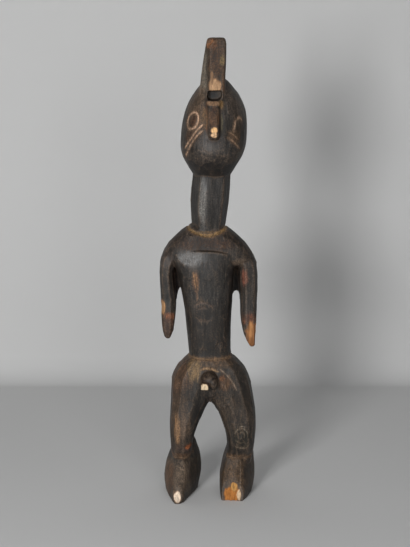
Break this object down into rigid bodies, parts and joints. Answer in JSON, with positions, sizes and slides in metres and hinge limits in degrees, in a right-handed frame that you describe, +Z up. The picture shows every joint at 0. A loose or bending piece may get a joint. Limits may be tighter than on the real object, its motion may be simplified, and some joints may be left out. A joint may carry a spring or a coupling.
{
  "type": "carved wooden standing figure",
  "caption": "Standing figure carved from one billet, with a crested head, long faceted neck, free-hanging arms, bowed legs and worn, broken extremities.",
  "frame": {"origin": "on the ground under the middle of the figure's outline", "axes": "+Z up through the crest, -Y the way the figure faces, -X its own right side"},
  "size_m": [0.1172, 0.1014, 0.5495],
  "materials": {
    "dark_wood": "dark rubbed patina, pale where it is broken"
  },
  "bodies": {
    "root": {"figure": "dark_wood"}
  },
  "joints": []
}
